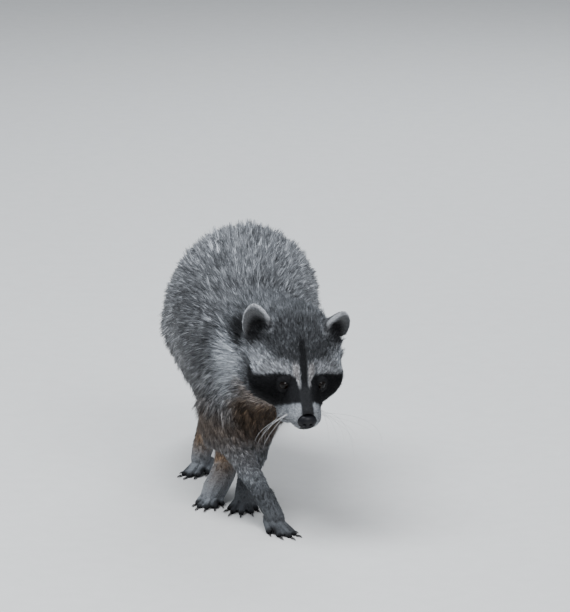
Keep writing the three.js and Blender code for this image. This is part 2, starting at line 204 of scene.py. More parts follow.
class Net:
    """A mesh's vertices and which of them are neighbours, for smoothing over its surface."""

    def __init__(self, mesh):
        self.mesh = mesh
        self.count = len(mesh.vertices)
        ends = np.empty(2 * len(mesh.edges), np.int32)
        mesh.edges.foreach_get("vertices", ends)
        a, b = ends[0::2], ends[1::2]
        to = np.concatenate([a, b])
        order = np.argsort(to, kind="stable")
        self.near = np.concatenate([b, a])[order]
        self.starts = np.searchsorted(to[order], np.arange(self.count))
        self.sizes = np.diff(np.append(self.starts, len(self.near)))[:, None]

    def smooth(self, values, rounds, share=0.5):
        """Moves every value a share of the way to the mean of its neighbours', a number of rounds."""
        flat = values.ndim == 1
        v = (values[:, None] if flat else values).astype(np.float64)
        for _ in range(rounds):
            mean = np.add.reduceat(v[self.near], self.starts) / self.sizes
            v = v + (mean - v) * share
        return v[:, 0] if flat else v

    def points(self):
        co = np.empty(3 * self.count, np.float32)
        self.mesh.vertices.foreach_get("co", co)
        return co.reshape(-1, 3).astype(np.float64)

    def place(self, points):
        self.mesh.vertices.foreach_set("co", points.astype(np.float32).ravel())
        self.mesh.update()

    def normals(self):
        n = np.empty(3 * self.count, np.float32)
        self.mesh.vertex_normals.foreach_get("vector", n)
        return n.reshape(-1, 3).astype(np.float64)


def mesh_of(name, points, faces):
    """A mesh from arrays of points and of triangles."""
    mesh = bpy.data.meshes.new(name)
    mesh.vertices.add(len(points))
    mesh.vertices.foreach_set("co", points.astype(np.float32).ravel())
    mesh.loops.add(faces.size)
    mesh.loops.foreach_set("vertex_index", faces.astype(np.int32).ravel())
    mesh.polygons.add(len(faces))
    mesh.polygons.foreach_set("loop_start", np.arange(0, faces.size, faces.shape[1], dtype=np.int32))
    mesh.update(calc_edges=True)
    mesh.polygons.foreach_set("use_smooth", np.ones(len(faces), bool))
    return mesh


def object_of(name, mesh):
    """A new object of the scene with that mesh."""
    piece = bpy.data.objects.new(name, mesh)
    bpy.context.scene.collection.objects.link(piece)
    return piece


def only(piece):
    """Selects one object and makes it active."""
    bpy.ops.object.select_all(action="DESELECT")
    piece.select_set(True)
    bpy.context.view_layer.objects.active = piece


def edit_all(operator, **values):
    """Runs an operator of edit mode on the whole of the active object."""
    bpy.ops.object.mode_set(mode="EDIT")
    bpy.ops.mesh.select_all(action="SELECT")
    operator(**values)
    bpy.ops.object.mode_set(mode="OBJECT")


def joined(name, pieces):
    """Several objects as one."""
    only(pieces[0])
    for piece in pieces:
        piece.select_set(True)
    bpy.ops.object.join()
    piece = bpy.context.view_layer.objects.active
    piece.name = piece.data.name = name
    return piece


def joined_copy(name, nodes):
    """The named CAD nodes copied into one object, their loose triangles merged."""
    piece = joined(name, [object_of(node + "_copy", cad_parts[node].data.copy()) for node in nodes])
    edit_all(bpy.ops.mesh.remove_doubles, threshold=1e-5)
    piece.data.materials.clear()
    return piece


def face_outwards(piece):
    """Turns the faces of a closed piece outwards."""
    only(piece)
    edit_all(bpy.ops.mesh.normals_make_consistent, inside=False)


def paint(mesh, colours):
    """Gives each vertex its colour, in the attribute that the materials read."""
    rgba = np.ones((len(colours), 4), np.float32)
    rgba[:, :3] = np.clip(colours, 0, 1)
    layer = mesh.attributes.new("coat", "FLOAT_COLOR", "POINT")
    layer.data.foreach_set("color", rgba.ravel())


# ---- Where things lie on the body ----


class Body:
    """Which part of the body each vertex of the skin belongs to, and what the coat does there."""

    def __init__(self, net):
        self.net = net
        self.at = net.points()
        self.normals = net.normals()
        self.share = self.region_shares()

    def region_shares(self):
        """How far each vertex belongs to each region, blurred over the borders."""
        points, faces, owner = [], [], []
        for node in FLESH:
            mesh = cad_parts[node].data
            base = len(points)
            points += [v.co for v in mesh.vertices]
            faces += [[base + i for i in p.vertices] for p in mesh.polygons]
            owner += [self.region_of(node)] * len(mesh.polygons)
        tree = BVHTree.FromPolygons(points, faces)
        nearest = np.array([owner[tree.find_nearest(p)[2]] for p in self.at.tolist()])
        share = np.eye(len(REGIONS))[nearest]
        return self.net.smooth(share, 30, 0.6)

    @staticmethod
    def region_of(node):
        """The number of a node's region: a name that starts with none is a foreleg's or a hindleg's."""
        for i, region in enumerate(REGIONS):
            if node.startswith(region) or (node == "lower_jaw" and region == "muzzle"):
                return i
        return REGIONS.index("leg")

    def of(self, region):
        return self.share[:, REGIONS.index(region)]

    def blend(self, **values):
        """A number, or values or vectors for all vertices, for each region, run together over the body."""
        total = 0
        for i, region in enumerate(REGIONS):
            share = self.share[:, i]
            total = total + values[region] * (share[:, None] if np.ndim(values[region]) == 2 else share)
        return total


# ---- Markings: how pale, how warm and how mottled the coat is ----


def face_tone(l, f, u, wave):
    """The tone of the coat of the head, from 0, black, to 1, white, and how warm it is."""
    a = np.abs(l)
    mask_top = 13.5 - 0.0165 * np.maximum(a - 18, 0) ** 2 - 9 * hump(a, 5.6, 2.4) + wave
    mask_low = -46 + 29 * (np.maximum(a - 34, 0) / 21) ** 1.6 + 1.5 * wave
    above = u - mask_top
    tone = 0.065 + 0.03 * step(25, 62, -f) + 0.02 * step(20, 50, a)
    warm = np.full(len(l), 0.06)
    # brow: white along the mask, and fading upwards into the grizzled forehead, slowly at the sides
    fade = 1 - step(4, 15 + 16 * step(28, 48, a), above)
    brow = step(-0.8, 1.0, above) * fade * step(-80, -56, f)
    tone = tone + (0.54 - tone) * brow
    # beside the stripe a cream wedge on each side, parted from the brow by a thin dark furrow
    wedge = step(4.4, 5.6, a) * (1 - step(11.0, 13.0, a)) * step(-0.6, 0.8, above) * (1 - step(21, 27, u))
    tone = tone + (0.50 - tone) * wedge
    warm = warm + 0.14 * wedge
    tone = tone * (1 - 0.55 * hump(a, 14.4, 1.3) * step(0, 2, above) * (1 - step(9, 14, above)))
    # the pale ruff that carries the brow back past the outer end of the mask
    tone += (0.78 - tone) * ruff_share(l, f, u)
    # cheeks under the mask, with a cream line along the mask's lower edge
    under = step(0, 3, mask_low - u) * (1 - step(10, 16, f))
    under *= 1 - ruff_share(l, f, u)
    tone += (0.36 + 0.10 * step(38, 50, a) - tone) * under
    warm += (0.45 - warm) * under
    tone += 0.34 * hump(u, mask_low - 4, 3.5) * (1 - step(8, 14, f)) * (1 - step(48, 58, a))
    # the mask, round both eyes and down to the cheek's edge
    inside = step(-1.0, 1.0, mask_top - u) * step(-1.8, 1.8, u - mask_low) * (1 - step(53, 60, a + wave))
    inside *= step(-38, -26, f + 0.25 * np.abs(u + 12))
    # muzzle: white at the sides and chin, dark along the bridge
    side = step(-2.6, 2.6, -22 + 0.85 * (f - 15) - u + 1.5 * wave) * step(-16, -6, f + wave)
    side *= step(5.2, 7.4, a)
    tone += (0.58 - tone) * side
    warm += (0.04 - warm) * side
    inside *= 1 - side
    tone += (0.001 - tone) * np.clip(inside, 0, 1)
    bridge = (1 - step(5.4, 7.4, a)) * step(16, 24, f) * step(-24, -20, u)
    tone += (0.020 - tone) * bridge
    # the stripe from the forehead down between the eyes
    stripe = (1 - step(3.2, 5.0, a + 1.5 * step(30, 44, u))) * (1 - step(36, 48, u)) * step(-20, -8, u)
    tone += (0.001 - tone) * stripe * step(-30, -20, f) * (1 - step(14, 24, f))
    # lips and the line of the mouth
    tone *= 1 - 0.8 * hump(u, mouth_height(f), 0.9) * step(8, 14, f) * (1 - step(46, 50, f))
    chin = step(0, 3, mouth_height(f) - u) * step(0, 12, f)
    tone += (0.50 - 0.42 * step(40, 47, f) - tone) * chin
    return np.clip(tone, 0, 1), warm


def ruff_share(l, f, u):
    """How far the coat belongs to the white ruff beside the cheek."""
    share = 1.7 * hump(np.abs(l), 60, 15) * hump(u, -23, 20) * hump(f, -70, 24)
    return np.clip(share, 0, 1) * (1 - step(-8, 3, u))


def breast_share(points):
    """How near each point is to the left edge of the breast, which the coat leaves slim under the chin."""
    l, f, u = head_places(points)
    return np.clip(1.5 * hump(l, 20, 18) * hump(f, -98, 22) * hump(u, -130, 24), 0, 1)


def mouth_height(f):
    """How high the line of the mouth lies on the side of the muzzle."""
    return -29.5 - 0.012 * np.maximum(44 - f, 0) ** 2


def gap_to(points, names):
    """How far each point is from the middle of the nearest of some nodes."""
    return np.min([np.linalg.norm(points - np.array(middle(name)), axis=1) for name in names], axis=0)


def toe_share(points):
    """How near each point is to the toes' tips, from 0 to 1 at the claws."""
    claws = [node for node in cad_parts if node.startswith("claw_")]
    return 1 - step(8 * MM, 16 * MM, gap_to(points, claws))


def hind_share(points):
    """Whether each point is nearer to a hind leg, 1, or to a foreleg, 0."""
    fore, hind = (gap_to(points, LEGS[k : k + 2] + FEET[k : k + 2]) for k in (0, 2))
    return step(-6 * MM, 6 * MM, fore - hind)


EAR_LENGTH = 52
EAR_HALF_WIDTH = 18.5
# How each ear stands: leaning out, leaning back and turned out, in degrees.
EAR_SET = {"ear_left": (7, -15, 22), "ear_right": (14, 4, 26)}


def ear_root(name):
    return in_head(42 if name == "ear_left" else -42, -54, 22)


def ear_frame(name):
    """The middle of an ear's blade, and the turn that its own directions take: across, back and up."""
    s = 1 if name == "ear_left" else -1
    lean, back, toe = EAR_SET[name]
    turn = (
        HEAD_TURN
        @ Matrix.Rotation(math.radians(s * lean), 3, "Y")
        @ Matrix.Rotation(math.radians(-back), 3, "X")
        @ Matrix.Rotation(math.radians(s * toe), 3, "Z")
    )
    return ear_root(name) + turn @ Vector((0, 0, 0.36 * EAR_LENGTH)) * MM, turn


def ear_places(body):
    """How far out from an ear's middle to its rim each point is, how far up, and how it faces forwards."""
    rim, height, facing = np.zeros((3, len(body.at)))
    for name in EARS:
        centre, turn = ear_frame(name)
        turn = np.array(turn)
        x, y, z = ((body.at - np.array(centre)) @ turn / MM).T
        up = z / (0.6 * EAR_LENGTH)
        narrow = 1 - 0.22 * np.clip(up, 0, 1) ** 2
        reach = np.hypot(x / (EAR_HALF_WIDTH * narrow), up)
        near = (np.abs(y) < 16) & (reach < 1.4)
        rim[near] = reach[near]
        height[near] = up[near]
        facing[near] = -(body.normals @ turn)[near, 1]
    return rim, height, facing


def ear_tone(body):
    """Grey in the hollow, with painted shade darkening it to near black deep at its root, dark behind, with a
    pale rim.
    """
    rim, height, facing = ear_places(body)
    # painted shade: the hollow darkens towards its deep lower middle, at the ear's root
    hollow = 0.012 + 0.20 * step(0.35, 0.9, rim + 0.30 * height)
    tone = 0.07 + (hollow - 0.07) * step(0.0, 0.4, facing)
    return tone + (0.66 - tone) * step(0.89, 0.97, rim) * step(-0.7, -0.3, height)


def farthest(name, point):
    """The corner of a CAD node that is farthest from a point."""
    co = np.array([v.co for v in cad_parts[name].data.vertices])
    return co[np.argmax(np.linalg.norm(co - point, axis=1))]


# Turns of light and dark from the tail's root to its tip, whose own dark covers the last.
TAIL_RINGS = 5.6


def coat_tone(body):
    """Tone, warmth and mottling of the coat at every vertex of the skin."""
    at = body.at
    y, z = at.T[1:]
    l, f, u = head_places(at)
    a = np.abs(l)
    up = body.normals[:, 2]
    behind_neck = y - middle("neck").y
    # trunk: paler towards the rump, brown and dark at the chest; painted bounce light makes it paler where it
    # faces down and on a patch at the side of the neck that turns away from the lamps
    chest = (1 - step(0.095, 0.145, z)) * (1 - step(0.02, 0.09, behind_neck))
    # painted bounce light: paler where the coat faces down
    below = 1 - step(-0.5, 0.3, up)
    # painted light on the shoulder at the side of the neck, which faces down into shade
    side = hump(z, 0.162, 0.02) * hump(y, -0.215, 0.03)
    trunk = 0.205 + 0.145 * step(0.05, 0.20, behind_neck)
    trunk = trunk + 0.08 * below + 0.11 * side + 0.03 * noise(at, 0.11, 3)
    trunk += (0.12 - trunk) * chest
    trunk_warm = 0.08 + 0.8 * chest + 0.3 * step(0.2, 0.8, -up)
    # the neck gets the same painted bounce light where it faces down and at its side
    neck = 0.21 - 0.06 * step(0.2, 0.7, up) + 0.09 * below + 0.12 * side + 0.02 * noise(at, 0.05, 4)
    neck += (0.11 - neck) * chest
    neck_warm = 0.04 + 0.8 * chest
    face, face_warm = face_tone(l, f, u, 0.7 * noise(at, 0.006, 5))
    # dark before and behind the ears, and the ruff that runs on over the neck's edge
    behind = np.clip(1.9 * hump(a, 54, 13) * hump(f, -78, 22), 0, 1)
    behind = behind * step(-5, 2, u) * (1 - step(14, 30, u))
    before = np.clip(1.9 * hump(a, 46, 9) * hump(f, -50, 12) * hump(u, 24, 10), 0, 1)
    face = face * (1 - 0.93 * behind) * (1 - 0.9 * before)
    neck = neck * (1 - 0.93 * behind)
    neck += 0.16 * hump(a, 60, 16) * hump(u, -58, 17) * hump(f, -66, 28)
    neck += (0.82 - neck) * ruff_share(l, f, u)
    # the throat, dark brown
    throat = step(54, 68, -u) * (1 - step(44, 60, a)) * step(-120, -90, f)
    face, neck, trunk = (v + (0.12 - v) * throat for v in (face, neck, trunk))
    face_warm, neck_warm, trunk_warm = (v + (0.8 - v) * throat for v in (face_warm, neck_warm, trunk_warm))
    # legs: brown-grey above, tan up the fronts of the hind shanks, blue-grey feet and black toes
    hind = hind_share(at)
    foot = 0.14 + 0.28 * hind
    leg = foot + (0.32 - foot) * step(0.045, 0.065, z)
    leg += (0.23 + 0.02 * hind - leg) * step(0.08, 0.13, z)
    shank = hind * hump(z, 0.045, 0.018) * step(-0.5, 0.5, -body.normals[:, 1])
    leg += (0.52 - leg) * shank
    leg *= 1 - 0.94 * toe_share(at)
    leg_warm = (0.20 * step(0.05, 0.09, z) + 0.35 * step(0.08, 0.12, z)) * (1 - 0.8 * hind) + 0.78 * shank
    # tail: five dark rings and a dark tip
    along = nearest_on_path(at, tail_path())[0]
    rings = 0.5 + 0.5 * np.cos(2 * np.pi * (along * TAIL_RINGS + 0.05))
    tail = 0.36 - 0.34 * step(0.45, 0.75, rings) * step(0.06, 0.12, along)
    tail += (0.01 - tail) * step(0.88, 0.92, along)
    tone = body.blend(
        trunk=trunk, neck=neck, head=face, muzzle=face, ear=ear_tone(body), leg=leg, foot=leg, tail=tail
    )
    warm = body.blend(
        trunk=trunk_warm,
        neck=neck_warm,
        head=face_warm,
        muzzle=face_warm,
        ear=0.1,
        leg=leg_warm,
        foot=leg_warm,
        tail=0.2,
    )
    calm = 1 - 0.6 * ruff_share(l, f, u)
    mottle = body.blend(trunk=1, neck=calm, head=calm, muzzle=0.7, ear=0.6, leg=0.7, foot=1, tail=0.7)
    return np.clip(tone, 0, 1), warm, mottle


def tail_path():
    """Points along the middle of the tail, from its root to its tip."""
    centres = [np.array(middle(name)) for name in TAIL]
    first = centres[0] - 0.55 * (centres[1] - centres[0])
    tip = farthest("tail_4", centres[0])
    return np.array([first, *centres, tip])


def nearest_on_path(points, path):
    """For each point the share of the way along a path, and the path's direction there."""
    lengths = np.linalg.norm(np.diff(path, axis=0), axis=1)
    before = np.concatenate([[0], np.cumsum(lengths)])
    best = np.full(len(points), np.inf)
    share = np.zeros(len(points))
    way = np.zeros((len(points), 3))
    for i, start in enumerate(path[:-1]):
        along = path[i + 1] - start
        t = np.clip((points - start) @ along / (along @ along), 0, 1)
        gap = np.linalg.norm(points - start - t[:, None] * along, axis=1)
        closer = gap < best
        best = np.where(closer, gap, best)
        share = np.where(closer, (before[i] + t * lengths[i]) / before[-1], share)
        way[closer] = along / lengths[i]
    return share, way


def colour_of(tone, warm, colours):
    """Colours between black and white, or black and tan where the coat is warm."""
    pale = mixed(np.array(colours.white), np.array(colours.tan), np.clip(warm, 0, 1.1))
    return mixed(np.array(colours.black), pale, tone)


# ---- How the coat lies ----

NOSE_TIP = in_head(0, 56, -14)
LEG_SPARE = 12 * MM  # how far round a leg's box its coat still lies down the leg


def coat_depth(body):
    """How deep the coat is over the skin, in metres."""
    l, f, _ = head_places(body.at)
    a = np.abs(l)
    z = body.at[:, 2]
    head = 1.8 + 2.5 * step(0, 30, -f) + 6.5 * step(26, 60, -f + 0.25 * a) + 2.5 * step(40, 60, a)
    leg = 1.4 + 8.8 * step(0.05, 0.13, z)
    foot = 0.5 + 0.9 * step(0.02, 0.05, z)
    depth = body.blend(trunk=15, neck=14, head=head, muzzle=1, ear=0.55, leg=leg, foot=foot, tail=15)
    for eye in EYES:
        depth += 3.4 * hump(gap_to(body.at, [eye]) / MM, 3, 4.2)
    return body.net.smooth(depth, 12) * MM


def coat_length(body, sizes):
    """How long the coat is, in metres."""
    l, f, u = head_places(body.at)
    a = np.abs(l)
    z = body.at[:, 2]
    guard = sizes.guard_length / MM
    head = 4.8 + 4.5 * step(0, 25, -f) + 9 * step(26, 60, -f + 0.25 * a)
    head = head + 5 * step(38, 58, a) * step(5, 30, -f)
    head = head - 8 * hump(a, 46, 12) * hump(f, -36, 12) * hump(u, 28, 14)
    muzzle = 3.0 + 4 * hump(a, 24, 9) * hump(u, -38, 12) * (1 - step(14, 30, f))
    leg = 4.5 + 3 * step(0.03, 0.06, z) + 17 * step(0.065, 0.13, z)
    foot = 3.6 + 4.5 * step(0.012, 0.05, z)
    length = body.blend(
        trunk=guard, neck=guard - 3, head=head, muzzle=muzzle, ear=3.6, leg=leg, foot=foot, tail=guard + 3
    )
    return length * MM * (1 - 0.5 * breast_share(body.at))


def coat_lay(body):
    """The direction in which the coat lies at every vertex of the skin."""
    at, normals = body.at, body.normals
    y, z = at.T[1:]
    from_nose = unit(at - np.array(NOSE_TIP))
    back = np.array([0.0, 1.0, 0.0])
    down = np.array([0.0, 0.0, -1.0])
    lower = np.clip((0.26 - z) / 0.16, 0, 1)[:, None]
    trunk = back * (1 - 0.45 * lower) + down * (0.15 + 0.75 * lower)
    chest = ((1 - step(0.10, 0.17, z)) * (1 - step(-0.02, 0.06, y - middle("neck").y)))[:, None]
    trunk = trunk * (1 - chest) + (down + 0.25 * back) * chest
    neck = from_nose * 0.7 + trunk * 0.6
    ears = np.zeros_like(at)
    for name in EARS:
        root = np.array(ear_root(name))
        tip = farthest(name, root)
        near = np.linalg.norm(at - (root + tip) / 2, axis=1) < 0.06
        ears[near] = unit(tip - root)
    # down each leg, from the top of its box to its foot
    legs = np.zeros_like(at) + down
    for leg, foot in zip(LEGS, FEET):
        low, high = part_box(leg)
        top = middle(leg)
        top.z = high.z
        inside = np.all((at > np.array(low) - LEG_SPARE) & (at < np.array(high) + LEG_SPARE), axis=1)
        legs[inside] = unit(np.array(middle(foot) - top))
    feet = np.zeros_like(at) + unit(np.array([0.1, -1.0, -0.45]))
    along = nearest_on_path(at, tail_path())[1]
    lay = body.blend(
        trunk=trunk, neck=neck, head=from_nose, muzzle=from_nose, ear=ears, leg=legs, foot=feet, tail=along
    )
    lay = unit(flat_to(lay, normals) + 1e-6)
    for _ in range(3):
        lay = unit(flat_to(body.net.smooth(lay, 4), normals))
    return lay


# ---- Skin ----


def run_together(piece, overlap, voxel):
    """Grows a piece's parts until they overlap, and remeshes them as one closed surface."""
    only(piece)
    edit_all(bpy.ops.transform.shrink_fatten, value=overlap)
    piece.data.remesh_voxel_size = voxel
    piece.data.remesh_voxel_adaptivity = 0
    bpy.ops.object.voxel_remesh()


def thin_out(piece, triangles):
    """Triangulates a piece down to a number of triangles, keeping the head and feet finest."""
    only(piece)
    at = Net(piece.data).points()
    head = np.linalg.norm(at - np.array(in_head(0, -10, 0)), axis=1)
    coarse = piece.vertex_groups.new(name="coarse")
    rough = (head > 0.10) & (at[:, 2] > 0.06)
    coarse.add(np.flatnonzero(rough).tolist(), 1.0, "REPLACE")
    coarse.add(np.flatnonzero(~rough).tolist(), 0.25, "REPLACE")
    faces = len(piece.data.loops) - 2 * len(piece.data.polygons)
    fewer = piece.modifiers.new("fewer", "DECIMATE")
    fewer.ratio = min(1.0, triangles / faces)
    fewer.use_collapse_triangulate = True
    fewer.vertex_group = "coarse"
    fewer.vertex_group_factor = 1.0
    bpy.ops.object.modifier_apply(modifier="fewer")
    piece.vertex_groups.clear()


def ease_joins(body):
    """Smooths the skin where a leg runs into its foot, and more where it leaves the trunk."""
    leg = body.of("leg")
    top = body.net.smooth(leg * (body.of("trunk") + body.of("neck")), 40)
    for join, rounds in ((leg * body.of("foot"), 24), (1.6 * top, 150)):
        ease = np.clip(5 * join, 0, 1)[:, None]
        for _ in range(rounds):
            body.at = body.at + (body.net.smooth(body.at, 1, 1.0) - body.at) * ease
    body.net.place(body.at)
    body.normals = body.net.normals()


def sink(body, steps=8):
    """Moves the skin inwards by the coat's depth, and gives that depth."""
    depth = coat_depth(body)[:, None]
    net = body.net
    at = body.at
    for _ in range(steps):
        net.place(at)
        inward = unit(net.smooth(net.normals(), 3))
        at = at - inward * depth / steps
        calm = np.clip(depth / (12 * MM), 0.0, 0.5)
        at = at + (net.smooth(at, 1, 1.0) - at) * calm
    net.place(at)
    # where a thin fold has turned inside out, it is smoothed away
    for _ in range(8):
        turned = ((net.normals() * body.normals).sum(1) < 0.3).astype(float)
        if not turned.any():
            break
        ease = np.clip(4 * net.smooth(turned, 12), 0, 1)[:, None]
        for _ in range(25):
            at = at + (net.smooth(at, 1, 1.0) - at) * ease
        net.place(at)
    body.at = at
    body.normals = net.normals()
    return depth[:, 0]


class Pelt:
    """What the coat needs to know at every vertex of a surface that it grows on."""

    def __init__(self, net, depth, length, tone, warm, mottle, lay):
        self.at = net.points()
        self.normals = net.normals()
        self.depth, self.length = depth, length
        self.tone, self.warm, self.mottle = tone, warm, mottle
        self.lay = lay
        corners = np.empty(len(net.mesh.loops), np.int32)
        net.mesh.loops.foreach_get("vertex_index", corners)
        self.corners = corners.reshape(-1, 3)


FOLD_DEPTH = 1.1 * MM


def crease_mouth(body):
    """Folds the skin in along the line of the mouth, and down the middle below the nose."""
    l, f, u = head_places(body.at)
    line = hump(u, mouth_height(f), 1.3) * step(6, 14, f) * (1 - step(48, 54, f))
    cleft = hump(l, 0, 1.0) * step(46, 50, f) * step(-30, -27, u) * (1 - step(-24, -21, u))
    fold = np.clip(line + cleft, 0, 1) * (body.of("muzzle") > 0.3)
    body.at = body.at - body.normals * fold[:, None] * FOLD_DEPTH
    body.net.place(body.at)
    body.normals = body.net.normals()


def eye_frame(side):
    """The middle of an eye, and the directions out of it: gaze, away from the nose, and up."""
    s = 1 if side == "left" else -1
    gaze = head_way(s * 0.42, 1, 0.16).normalized()
    out = head_way(s, 0, 0)
    out = (out - gaze * out.dot(gaze)).normalized()
    up = gaze.cross(out) * s
    if up.z < 0:
        up = -up
    return middle("eye_" + side), gaze, out, up


EYE_RADIUS = 7.2 * MM
LID_TURNS = 48
# Each ring of a lid: degrees outside the edge of the opening, and millimetres from the middle of the eye.
LID_RINGS = ((0, 7.25), (1.5, 7.75), (8, 8.3), (18, 9.0), (30, 10.0), (42, 11.2), (44, 8.5), (14, 6.6))


def lid_rings(side, sizes):
    """A closed rounded shell round an eye, with an almond-shaped opening whose rim lies on the eyeball."""
    centre, gaze, out, up = (np.array(v) for v in eye_frame(side))
    turn = np.linspace(0, 2 * np.pi, LID_TURNS, endpoint=False)
    wide = math.asin(sizes.eye_width / 2 / EYE_RADIUS)
    high = math.asin(sizes.eye_height / 2 / EYE_RADIUS)
    x = np.cos(turn) * wide
    y = np.sign(np.sin(turn)) * np.abs(np.sin(turn)) ** 1.2 * high * np.where(np.sin(turn) > 0, 1.0, 0.86)
    inner = hump(turn, np.pi, 0.35)
    x -= 0.10 * inner
    y -= 0.13 * inner
    opening = np.hypot(x, y)
    bearing = np.arctan2(y, x)
    rings = []
    for wider, radius in LID_RINGS:
        polar = np.minimum(opening + math.radians(wider), math.radians(112))
        brow = 1 + 0.07 * np.sin(turn).clip(0) * hump(wider, 14, 12)
        way = (
            np.cos(polar)[:, None] * gaze
            + (np.sin(polar) * np.cos(bearing))[:, None] * out
            + (np.sin(polar) * np.sin(bearing))[:, None] * up
        )
        rings.append(centre + way * (radius * brow)[:, None] * MM)
    return rings


def lid_pelt(lid, side):
    """The coat of a lid, the shortest black hairs, lying away from the eye, and the vertices that bear it."""
    net = Net(lid.data)
    centre, gaze = (np.array(v) for v in eye_frame(side)[:2])
    same = np.ones(net.count)
    away = net.points() - centre
    from_nose = unit(net.points() - np.array(NOSE_TIP))
    lay = unit(away - np.outer(away @ gaze, gaze)) + 0.6 * from_nose
    lay = unit(flat_to(lay, net.normals()))
    ring = np.repeat(np.arange(len(LID_RINGS)), LID_TURNS)
    grown = ((ring >= 1) & (ring <= 5)).astype(float)
    depth, length = 1.1 * MM, 3.2 * MM
    return Pelt(net, depth * same, length * same, 0.001 * same, 0 * same, 0.3 * same, lay), grown


def ring_faces(rings, turns):
    """Pairs of triangles between rings of points, the last ring joined to the first."""
    faces = []
    for k in range(rings):
        for i in range(turns):
            a = k * turns + i
            b = k * turns + (i + 1) % turns
            c = (k + 1) % rings * turns + (i + 1) % turns
            d = (k + 1) % rings * turns + i
            faces += [(a, b, c), (a, c, d)]
    return np.array(faces)


class MakeSkin(bpy.types.Operator):
    """One skin over all the solids of flesh, sunk by the coat's depth, with lids and the fold of the mouth"""

    bl_idname = "raccoon.skin"
    bl_label = "Skin"

    def execute(self, context):
        settings = context.scene.raccoon
        skin = joined_copy("skin", FLESH + EYES)
        run_together(skin, 0.5 * MM, settings.coat.voxel)
        thin_out(skin, SKIN_TRIANGLES)
        body = Body(Net(skin.data))
        ease_joins(body)
        depth = sink(body)
        crease_mouth(body)
        tone, warm, mottle = coat_tone(body)
        paint(skin.data, colour_of(tone * SKIN_SHADE, warm, settings.colours))
        pelts["body"] = body
        depth = depth * (1 - 0.65 * breast_share(body.at))
        length = coat_length(body, settings.coat)
        pelts["skin"] = Pelt(body.net, depth, length, tone, warm, mottle, coat_lay(body))
        lids = []
        for side in ("left", "right"):
            rings = lid_rings(side, settings.face)
            faces = ring_faces(len(rings), LID_TURNS)
            lid = object_of("lid", mesh_of("lid", np.concatenate(rings), faces))
            face_outwards(lid)
            pelts["lid_" + side] = lid_pelt(lid, side)
            paint(lid.data, np.tile(np.array(settings.colours.black), (len(lid.data.vertices), 1)))
            lids.append(lid)
        skin = joined("skin", [skin, *lids])
        skin.data.polygons.foreach_set("use_smooth", np.ones(len(skin.data.polygons), bool))
        skin.data.materials.clear()
        skin.data.materials.append(skin_material())
        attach(skin, "root")
        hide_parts(*FLESH)
        return {"FINISHED"}


# ---- Materials ----


def feed(node, inputs):
    """Gives each named input of a node a value, or links it to an output of another node."""
    for name, value in inputs.items():
        if isinstance(value, bpy.types.NodeSocket):
            node.id_data.links.new(value, node.inputs[name])
        else:
            node.inputs[name].default_value = value


def add_node(tree, kind, inputs=None, **settings):
    """A new node, with its own settings and what feeds its inputs."""
    node = tree.nodes.new(kind)
    for name, value in settings.items():
        setattr(node, name, value)
    feed(node, inputs or {})
    return node


def new_material(name, inputs):
    """A new material and its shader, which takes these inputs."""
    material = bpy.data.materials.new(name)
    material.use_nodes = True
    shader = material.node_tree.nodes["Principled BSDF"]
    feed(shader, inputs)
    return material, shader


def mottled_group():
    """A node group that varies a colour over the surface and gives a height for bumps."""
    found = bpy.data.node_groups.get("mottled")
    if found:
        return found
    group = bpy.data.node_groups.new("mottled", "ShaderNodeTree")
    for name, way, kind in (
        ("Colour", "INPUT", "NodeSocketColor"),
        ("Scale", "INPUT", "NodeSocketFloat"),
        ("Amount", "INPUT", "NodeSocketFloat"),
        ("Colour", "OUTPUT", "NodeSocketColor"),
        ("Height", "OUTPUT", "NodeSocketFloat"),
    ):
        group.interface.new_socket(name=name, in_out=way, socket_type=kind)
    given = add_node(group, "NodeGroupInput").outputs
    place = add_node(group, "ShaderNodeTexCoord").outputs["Object"]
    waves = {"Vector": place, "Scale": given["Scale"], "Detail": 3}
    height = add_node(group, "ShaderNodeTexNoise", waves).outputs["Fac"]
    spread = {"Value": height, "From Min": 0.3, "From Max": 0.7, "To Min": 0.35, "To Max": 1.65}
    factor = add_node(group, "ShaderNodeMapRange", spread).outputs["Result"]
    scaling = {"Vector": given["Colour"], "Scale": factor}
    scaled = add_node(group, "ShaderNodeVectorMath", scaling, operation="SCALE").outputs["Vector"]
    mixing = {"Factor": given["Amount"], "A": given["Colour"], "B": scaled}
    mix = add_node(group, "ShaderNodeMix", mixing, data_type="RGBA").outputs["Result"]
    add_node(group, "NodeGroupOutput", {"Colour": mix, "Height": height})
    return group


def coloured(shader, scale, amount, bump, colour=None):
    """Feeds a shader with a colour, or with the coat's, through the mottled group, and with its bumps."""
    tree = shader.id_data
    if colour is None:
        colour = add_node(tree, "ShaderNodeAttribute", attribute_name="coat").outputs["Color"]
    elif not isinstance(colour, bpy.types.NodeSocket):
        colour = (*colour, 1)
    inputs = {"Colour": colour, "Scale": scale, "Amount": amount}
    group = add_node(tree, "ShaderNodeGroup", inputs, node_tree=mottled_group()).outputs
    feed(shader, {"Base Color": group["Colour"]})
    if bump:
        relief = {"Strength": 0.6, "Distance": bump, "Height": group["Height"]}
        feed(shader, {"Normal": add_node(tree, "ShaderNodeBump", relief).outputs["Normal"]})


def skin_material():
    material, shader = new_material("skin", {"Roughness": 0.75, "Specular IOR Level": 0.25})
    coloured(shader, 900, 0.5, 0.6 * MM)
    return material


def coat_material():
    found = bpy.data.materials.get("coat")
    if found:
        return found
    material, shader = new_material("coat", {"Roughness": 0.55, "Specular IOR Level": 0.18})
    coloured(shader, 500, 0.3, 0)
    return material


# ---- Coat ----


